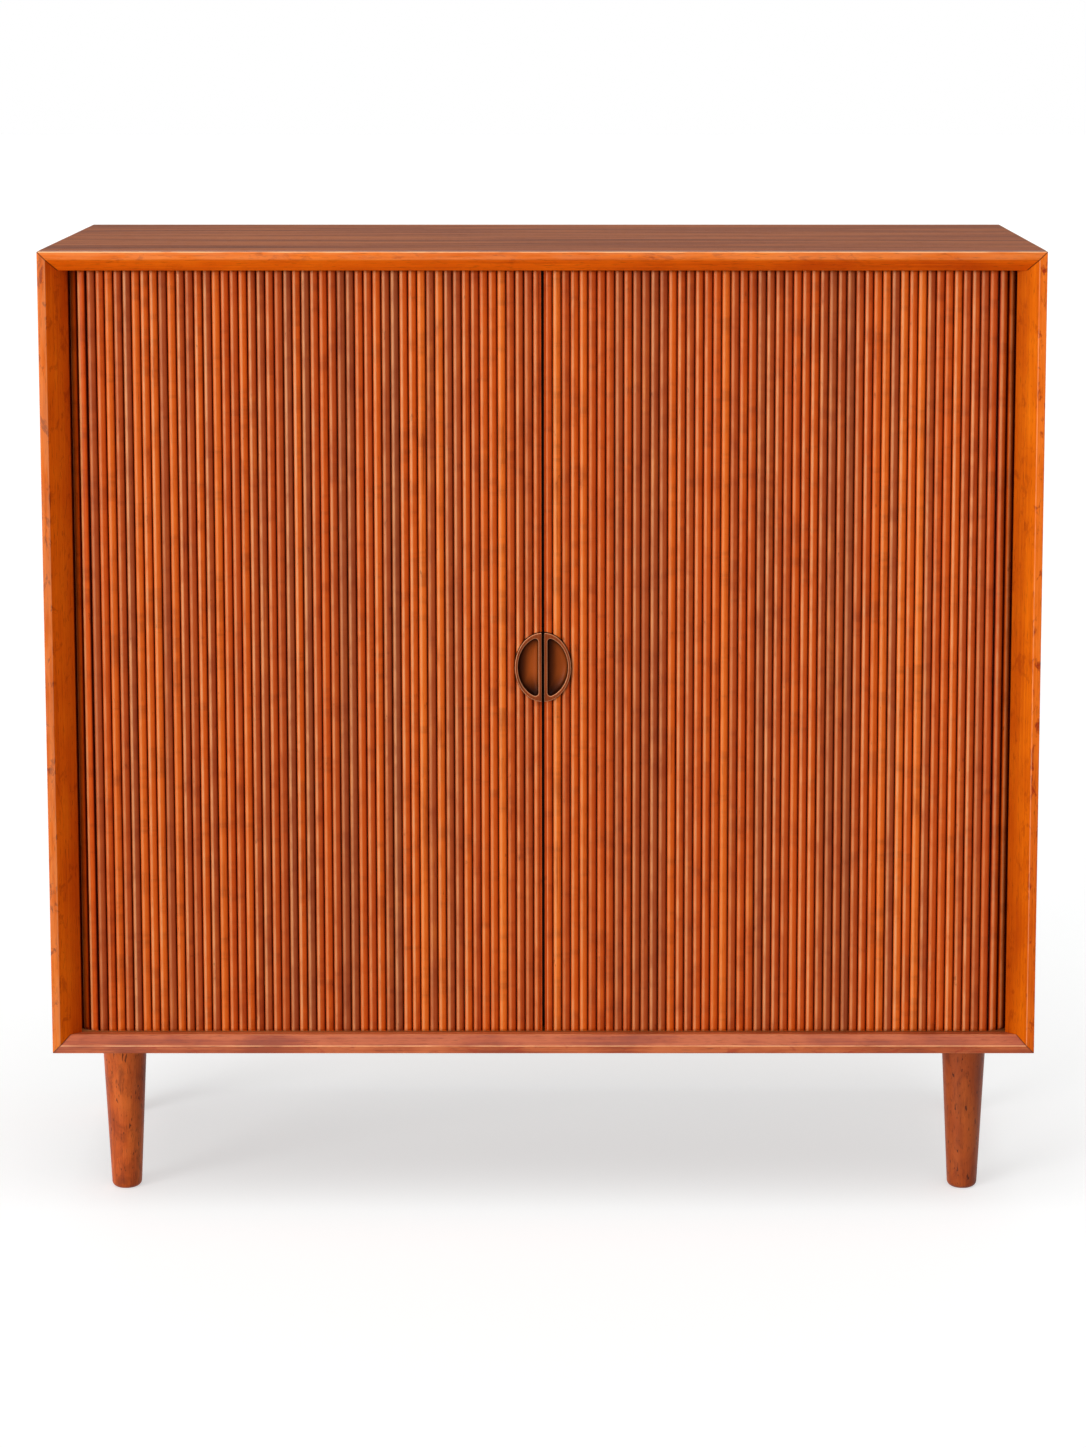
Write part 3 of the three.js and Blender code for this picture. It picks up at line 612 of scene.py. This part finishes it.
slat_wood = finish("slat_wood", {"Specular IOR Level": 0.1}, slat_paint)
# A shaded copy of the slat wood, without reflection, for the slats that lie in the stile's
# shadow.
tail_wood = finish("slat_wood_tail", {"Specular IOR Level": 0.0}, slat_paint)
for side, side_name in ((-1, "left"), (1, "right")):
    tone, pale = slat_tones(side)
    for body, node, slats in curtain_parts:
        runs = {}
        for slat in slats:
            across, out = slat_section(slat, side)
            mark = slat_mark(slat, across, out, side)
            for levels in slat_runs(slat, across):
                trimmed = len(levels) > run_levels
                rings = []
                for z, share in levels:
                    crown = np.minimum(out, tongue) + np.maximum(out - tongue, 0) * share
                    clear = across
                    if trimmed:
                        hole = hole_half(z - pull_z, hole_tall, hole_wide)
                        clear = np.maximum(across, hole - pitch * (slat + 0.5))
                    rings.append(on_track(slat, clear, crown, z, side))
                runs.setdefault(trimmed, []).append((rings, slat, mark))
        for trimmed, group in runs.items():
            rings, numbers, marks = zip(*group)
            numbers = np.array(numbers)[:, None, None]
            piece = closed(f"{side_name}_{node}" + ("_by_pull" if trimmed else "") + "_wood",
                           rings, smooth=0.7,
                           slat=numbers + (right_numbers if side > 0 else 0),
                           tone=tone[numbers], pale=pale[numbers],
                           across=np.array(marks)[:, None, :])
            replaced = [] if trimmed else [f"{side_name}_{node}"]
            dress(piece, slat_wood if slats[0] < shaded_slat else tail_wood,
                  f"{side_name}_{body}", "slat_wood", *replaced)

# Canvas
# Linen glued across the backs of the slats, which makes them one curtain that rolls round the
# corner. It stops short of the grooves, and has the hole of the pull in it. Where it bends
# it is cut into strips, narrower at the back so that they clear each other on the corner.
canvas = 0.0006  # from the backs of the slats to the back of the canvas
glue = 0.00002
seam = 0.0001  # between the pieces round the hole, and between them and its edge
canvas_gap = 0.0025  # between the canvas and the boards
lead_inset = 0.001
trims = (0.00004, 0.00016)  # how much a strip is narrower at each side, at its front and back
canvas_low, canvas_high = floor_z + canvas_gap, ceiling_z - canvas_gap
wave = 6283.0  # radians to the metre, for a wave to each millimetre
hole_points = 25  # across each piece of the leading canvas, for the curve of its hole


def canvas_paint(place):
    """Plain weave: warp and weft as two waves a millimetre long, over a cloud of dust."""
    warp = place.math("SINE", place.part("X") * wave)
    weft = place.math("SINE", place.part("Z") * wave)
    weave = warp * weft * 0.25 + 0.5
    dust = place.stretched("Z", 9, 14).noise(4)
    colour = (weave * 0.5 + dust * 0.6).ramp((0.2, rgb(150, 132, 100)), (0.8, rgb(206, 192, 160)))
    return {"Base Color": colour, "Normal": weave.relief(8e-5, 0.6)}


linen = finish("linen_canvas", {"Roughness": 0.9, "Specular IOR Level": 0.2}, canvas_paint)
for side, side_name in ((-1, "left"), (1, "right")):
    for body, _, slats in curtain_parts:
        start, stop = -pitch / 2, pitch * (len(slats) - 0.5)
        spans = [(start, stop, (canvas_low, canvas_high))]
        if body == "lead":
            hole_end = start + hole_wide
            spans = [(start + lead_inset, hole_end, (canvas_low, "under")),
                     (start + lead_inset, hole_end, ("over", canvas_high)),
                     (hole_end + seam, stop, (canvas_low, canvas_high))]
        for number, (x0, x1, ends) in enumerate(spans):
            line = np.linspace(x0, x1, hole_points if len(spans) > 1 else 2)
            across = np.concatenate([line, line[::-1]])
            out = np.repeat([-glue, -canvas], len(line))
            trim = np.repeat(trims, len(line))
            across = np.clip(across, start + trim, stop - trim)
            hole = hole_half(across - start, hole_wide, hole_tall)
            level = {"under": pull_z - hole - seam, "over": pull_z + hole + seam}
            rings = [on_track(slats[0], across, out, level.get(end, end), side) for end in ends]
            name = f"{side_name}_{body}_canvas" + (f"_{number + 1}" if len(spans) > 1 else "")
            dress(closed(name, rings, smooth=0.3), linen, f"{side_name}_{body}")

# Finger pulls
# Two half ovals of darker wood that make one oval when the curtains meet, each let through its
# curtain and hollowed to a cup for the fingers, with a flange that is glued behind the canvas.
pull_wide, pull_tall, pull_corner = 0.0295, 0.038, 0.0012
cup_wide, cup_tall, cup_lip, cup_corner, cup_depth = 0.0265, 0.0334, 0.0038, 0.0036, 0.0105
rim_arris, cup_arris = 0.0009, 0.0008
flange_wide, flange_thick = 0.004, 0.0029
rim_y, pull_back_y = (round(corner.y, 6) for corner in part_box("left_pull"))
flange_y = track_y + canvas + 0.0003
cup_period = 0.0303  # about as far as the left sides of the two cups are apart
pull_tones = ((0.2, rgb(98, 40, 16)), (0.5, rgb(132, 60, 27)), (0.8, rgb(158, 78, 38)))


def half_oval(wide, tall, lip, corner, outwards=0.0):
    """An oval cut off by a straight side at x = lip: the same shape a corner radius smaller all
    round, taken at its outermost point in each of 96 directions, and then moved out along
    that direction by the radius plus outwards, which rounds its corners."""
    turn = np.linspace(0, 2 * np.pi, 96, endpoint=False) + 0.01
    c, s = np.cos(turn), np.sin(turn)
    a, b = wide - corner, tall - corner
    size = np.sqrt((a * c) ** 2 + (b * s) ** 2)
    cut = (lip + corner) / a
    x = np.maximum(a * a * c / size, cut * a)
    z = np.where(a * c / size > cut, b * b * s / size, np.sign(s) * b * np.sqrt(1 - cut ** 2))
    return x + (corner + outwards) * c, z + (corner + outwards) * s


def pull_rings(side):
    """Rings, and how pale each is painted, a highlight over some rubbing, from the back of the
    pull round its flange, over its rim, whose arrises are quarter circles, and down the cup,
    whose wall is size ** 3 + depth ** 3 = 1."""
    arris = np.linspace(0.1, np.pi / 2, 4)
    back = (-0.0011, pull_back_y), (-0.0004, pull_back_y - 0.0004), (0, pull_back_y - 0.0012)
    flange = ((0, flange_y + flange_thick + 0.0001), (flange_wide, flange_y + flange_thick),
              (flange_wide, flange_y), (0, flange_y - 0.0001))
    rows = [(outwards, y, 0) for outwards, y in (*back, *flange, (0, rim_y + 0.0011))]
    rows += [(rim_arris * np.cos(t) - rim_arris, rim_y + rim_arris * (1 - np.sin(t)),
              np.sin(2 * t)) for t in arris]
    rings, light_and_wear = [], []
    for outwards, y, mark in rows:
        x, z = half_oval(pull_wide, pull_tall, 0, pull_corner, outwards)
        rings.append((np.maximum(x, 0), y, z))
        light_and_wear.append(mark)
    for t in arris[::-1]:
        outwards = cup_arris - cup_arris * np.cos(t)
        x, z = half_oval(cup_wide, cup_tall, cup_lip, cup_corner, outwards)
        rings.append((x, rim_y + cup_arris * (1 - np.sin(t)), z))
        light_and_wear.append(np.sin(2 * t))
    x, z = half_oval(cup_wide, cup_tall, cup_lip, cup_corner)
    middle = (cup_lip + cup_wide) / 2
    for t in np.linspace(0.2, np.pi / 2 - 0.011, 13):
        size, depth = np.cos(t) ** (2 / 3), np.sin(t) ** (2 / 3)
        y = rim_y + cup_arris + (cup_depth - cup_arris) * depth
        rings.append((middle + (x - middle) * size, y, z * size))
        light_and_wear.append(0)
    rings = [np.stack(np.broadcast_arrays(side * (meeting + x), y, pull_z + z), -1)
             for x, y, z in rings]
    return rings, np.array(light_and_wear)[:, None]


def pull_paint(place):
    """Dark close-grained wood, painted paler along its arrises, a highlight over some rubbing,
    and painted black as shade in the gap between the pulls. Its cup has painted shade down the
    walls, most of it low down and on the left, a lighter and warmer floor, and the right cup is a
    little darker. The remainder of x serves for the left of both cups."""
    wood = timber(place, "Z", pull_tones, (2, 2, 2), streak=0.8, mottle=0.8, dull=0.3)
    x, depth = place.part("X"), place.part("Y")
    wall = depth.step(rim_y + 0.0006, rim_y + 0.002) * 0.9
    bottom = depth.step(rim_y + 0.0055, rim_y + 0.01) * 0.85
    # Painted highlight over some rubbing along the arrises.
    colour = wood["Base Color"].towards(rgb(226, 156, 112), place.mark("worn") * 0.85)
    # Painted shade: black where the two pulls meet.
    colour = colour.towards(rgb(12, 5, 3), abs(x).step(0.0019, 0.0013))
    # Painted shade down the walls of the cup, then its lighter, warmer floor.
    colour = colour.towards(rgb(40, 10, 2), wall).towards(rgb(170, 78, 24), bottom)
    # More painted shade low down and on the left of each cup.
    from_left = place.math("MODULO", x + 0.03, cup_period)
    cup_shade = place.math("MAXIMUM", from_left.step(0.017, 0.004),
                       place.part("Z").step(pull_z - 0.004, pull_z - 0.03))
    colour = colour.towards(rgb(34, 10, 3), cup_shade * wall)
    # The walls of the right cup a little darker still.
    on_right = x.step(-0.001, 0.001)
    return {**wood, "Base Color": colour.towards(rgb(40, 12, 4), on_right * wall * 0.26)}


pull_wood = finish("pull_wood", {"Specular IOR Level": 0.05}, pull_paint)
for side, side_name in ((-1, "left"), (1, "right")):
    rings, light_and_wear = pull_rings(side)
    cup = closed(side_name + "_cup", rings, smooth=0.8, worn=light_and_wear)
    dress(cup, pull_wood, side_name + "_lead", "pull_wood", side_name + "_pull")

# Legs
# Four turned legs that taper to a rounded foot, each on a steel plate that is screwed up into
# the bottom board. The plates are the CAD solids, and their screws this scene's own.
foot_radius, top_radius, foot_round = 0.0168, 0.025, 0.0064
top_in, top_down = 0.0008, 0.0006  # the eased arris at the top of a leg
plate_thick = 0.003
screw_square = 0.0245  # half a side of the square that the screws of a plate make
leg_tones = ((0.15, rgb(148, 57, 17)), (0.45, rgb(194, 85, 26)), (0.8, rgb(220, 108, 38)))


def leg_paint(place):
    """Turned wood, its grain along Z, blotchy and open-pored: long dark pores and curled flecks
    where the lathe cut across the figure. The right-hand pair is painted darker, as shade."""
    wood = timber(place, "Z", leg_tones, (1, 6, 0), streak=0.7, pores=0.7, mottle=1.1)
    blotch = place.stretched("Z", 30, 55).noise(4, 0.6, 1.2)
    pit = place.stretched("Z", 110, 420).noise(1).step(0.66, 0.72)
    curl = place.stretched("Z", 60, 130).noise(4, 0.7, 1.5).step(0.62, 0.7)
    colour = wood["Base Color"].towards(rgb(104, 40, 18), blotch.step(0.45, 0.75) * 0.6)
    colour = colour.towards(rgb(206, 108, 52), blotch.step(0.5, 0.25) * 0.3)
    # Painted shade on the right-hand pair of legs.
    colour = colour.towards(rgb(110, 44, 16), place.part("X").step(-0.1, 0.1) * 0.5)
    colour = colour.towards(rgb(52, 18, 8), pit * 0.75 + curl * 0.25)
    return {**wood, "Base Color": colour}


leg_wood = finish("leg_wood", {"Specular IOR Level": 0.2}, leg_paint)
steel = finish("plate_steel", {"Metallic": 1.0}, metal_paint(rgb(176, 174, 168)))
for corner in ("front_left", "front_right", "rear_left", "rear_right"):
    low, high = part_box(corner + "_leg")
    middle_x, middle_y = (low.x + high.x) / 2, (low.y + high.y) / 2
    curve = np.linspace(0, np.pi / 2, 9)
    radius = np.concatenate([foot_radius - foot_round + foot_round * np.sin(curve),
                             np.linspace(foot_radius, top_radius, 8)[1:], [top_radius - top_in]])
    z = np.concatenate([foot_round * (1 - np.cos(curve)),
                        np.linspace(foot_round, high.z - top_down, 8)[1:], [high.z]])
    turn = np.linspace(0, 2 * np.pi, 72, endpoint=False)
    rings = np.stack(np.broadcast_arrays(middle_x + radius[:, None] * np.cos(turn),
                                         middle_y + radius[:, None] * np.sin(turn),
                                         z[:, None]), -1)
    dress(closed(corner + "_turning", rings, smooth=0.5), leg_wood, "case", "leg_wood",
          corner + "_leg")
    refinish(corner + "_leg_plate", steel)
    head_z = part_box(corner + "_leg_plate")[1].z - plate_thick
    holes = [(middle_x + screw_square * i, middle_y + screw_square * j, head_z)
             for i in (-1, 1) for j in (-1, 1)]
    dress(screws(corner + "_plate_screws", holes, (0, 0, -1), (0.4, 1.3, 2.2, 2.9)), steel,
          "case", "plate_steel")

# Room
# A pale floor that fades into a white room, soft light from all sides, a broad lamp from the
# front left and a weaker one from above, and a long lens a little above the top.
floor_half = 30.0  # half of a side of the floor
# Each lamp: name, degrees from straight above, degrees to the left, degrees of spread, power.
lamps = (("key", 83, 45, 30, 2.6), ("above", 20, 0, 56, 1.4))
camera_tilt = 7.66  # degrees below level


def stage_level(tree, lit, seen):
    """A level that is lit for the light on the object, and seen for what the camera and glossy
    or clear surfaces see."""
    path = Wire(tree, tree.nodes.new("ShaderNodeLightPath").outputs["Is Camera Ray"])
    glossy = path.node("LightPath", {}, {}, "Is Glossy Ray")
    clear = path.node("LightPath", {}, {}, "Is Transmission Ray")
    share = path.math("MINIMUM", path + glossy + clear, 1.0)
    return share * (seen - lit) + lit


world = bpy.data.worlds.new("room")
bpy.context.scene.world = world
world.use_nodes = True
sky = world.node_tree.nodes["Background"]
sky.inputs["Color"].default_value = (1, 1, 1, 1)
world.node_tree.links.new(stage_level(world.node_tree, 0.34, 1.0).socket, sky.inputs["Strength"])
floor_mesh = bpy.data.meshes.new("floor")
floor_corners = [(floor_half * i, floor_half * j, 0)
                 for i, j in ((-1, -1), (1, -1), (1, 1), (-1, 1))]
floor_mesh.from_pydata(floor_corners, [], [(0, 1, 2, 3)])
floor = bpy.data.objects.new("floor", floor_mesh)
bpy.context.scene.collection.objects.link(floor)
floor_paint = bpy.data.materials.new("floor")
floor_paint.use_nodes = True
floor_tree = floor_paint.node_tree
floor_shader = floor_tree.nodes["Principled BSDF"]
for socket, value in (("Roughness", 0.6), ("Specular IOR Level", 0.1),
                      ("Emission Strength", 1.0)):
    floor_shader.inputs[socket].default_value = value
for socket, lit, seen, cool in (("Base Color", 0.52, 0.56, 1.02),
                                ("Emission Color", 0.0, 0.54, 1.0)):
    level = stage_level(floor_tree, lit, seen)
    colour = level.node("CombineColor", {}, {0: level, 1: level * cool, 2: level * cool})
    floor_tree.links.new(colour.socket, floor_shader.inputs[socket])
floor.data.materials.append(floor_paint)
for name, from_vertical, from_left, spread, power in lamps:
    lamp = bpy.data.lights.new(name, "SUN")
    lamp.angle, lamp.energy = np.radians(spread), power
    holder = bpy.data.objects.new(name, lamp)
    holder.rotation_euler = (np.radians(from_vertical), 0, np.radians(-from_left))
    bpy.context.scene.collection.objects.link(holder)
camera = bpy.data.objects.new("camera", bpy.data.cameras.new("camera"))
camera.location = (0.042, -4.0, 1.335)
camera.rotation_euler = (np.radians(90 - camera_tilt), 0, 0)
camera.data.lens = 88.0
camera.data.shift_x, camera.data.shift_y = -0.0266, -0.175
bpy.context.scene.collection.objects.link(camera)
bpy.context.scene.camera = camera
bpy.context.scene.view_settings.view_transform = "Standard"
